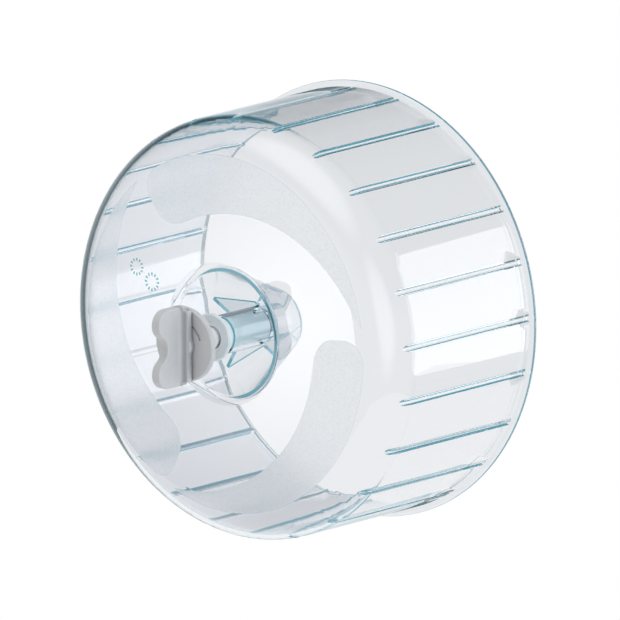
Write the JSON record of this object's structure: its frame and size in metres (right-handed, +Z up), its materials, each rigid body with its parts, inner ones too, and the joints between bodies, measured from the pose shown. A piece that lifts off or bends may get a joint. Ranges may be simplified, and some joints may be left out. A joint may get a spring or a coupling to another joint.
{
  "type": "hamster wheel",
  "caption": "Clear drum-shaped hamster wheel with treads and one open side, turning on a grey spindle that a wing screw and disc clamp to the wires of a cage.",
  "frame": {"origin": "centre of the spindle collar's clamp face, on the axle's axis", "axes": "+Y along the axle towards the drum's open side, so the wing screw is on the -Y side; +Z up; +X to the right for someone facing the wing screw"},
  "size_m": [0.145, 0.1028, 0.145],
  "materials": {
    "clear_plastic": "clear and polished, with a faint teal tint at the edges and three frosted patches on the closed face",
    "grey_plastic": "satin moulded plastic",
    "retainer_plastic": "satin moulded plastic"
  },
  "bodies": {
    "axle": {"spindle": "grey_plastic", "axle_retainer": "retainer_plastic"},
    "wheel": {"wheel_drum": "clear_plastic"},
    "disc": {"clamp_disc": "grey_plastic"},
    "screw": {"wing_screw": "grey_plastic"}
  },
  "joints": [
    {"name": "wheel_spin", "type": "hinge", "parent": "axle", "child": "wheel", "pos_m": [0, 0, 0], "axis": [0, 1, 0], "continuous": true},
    {"name": "clamp_travel", "type": "slide", "parent": "axle", "child": "disc", "axis": [0, 1, 0], "range_m": [-0.003, 0.0108]},
    {"name": "screw_turn", "type": "hinge", "parent": "disc", "child": "screw", "pos_m": [0, 0, 0], "axis": [0, 1, 0], "range_deg": [-361, 1297]}
  ],
  "couplings": [
    {"joint": "screw_turn", "follows": "clamp_travel", "rad_per_m": 2094.4}
  ]
}
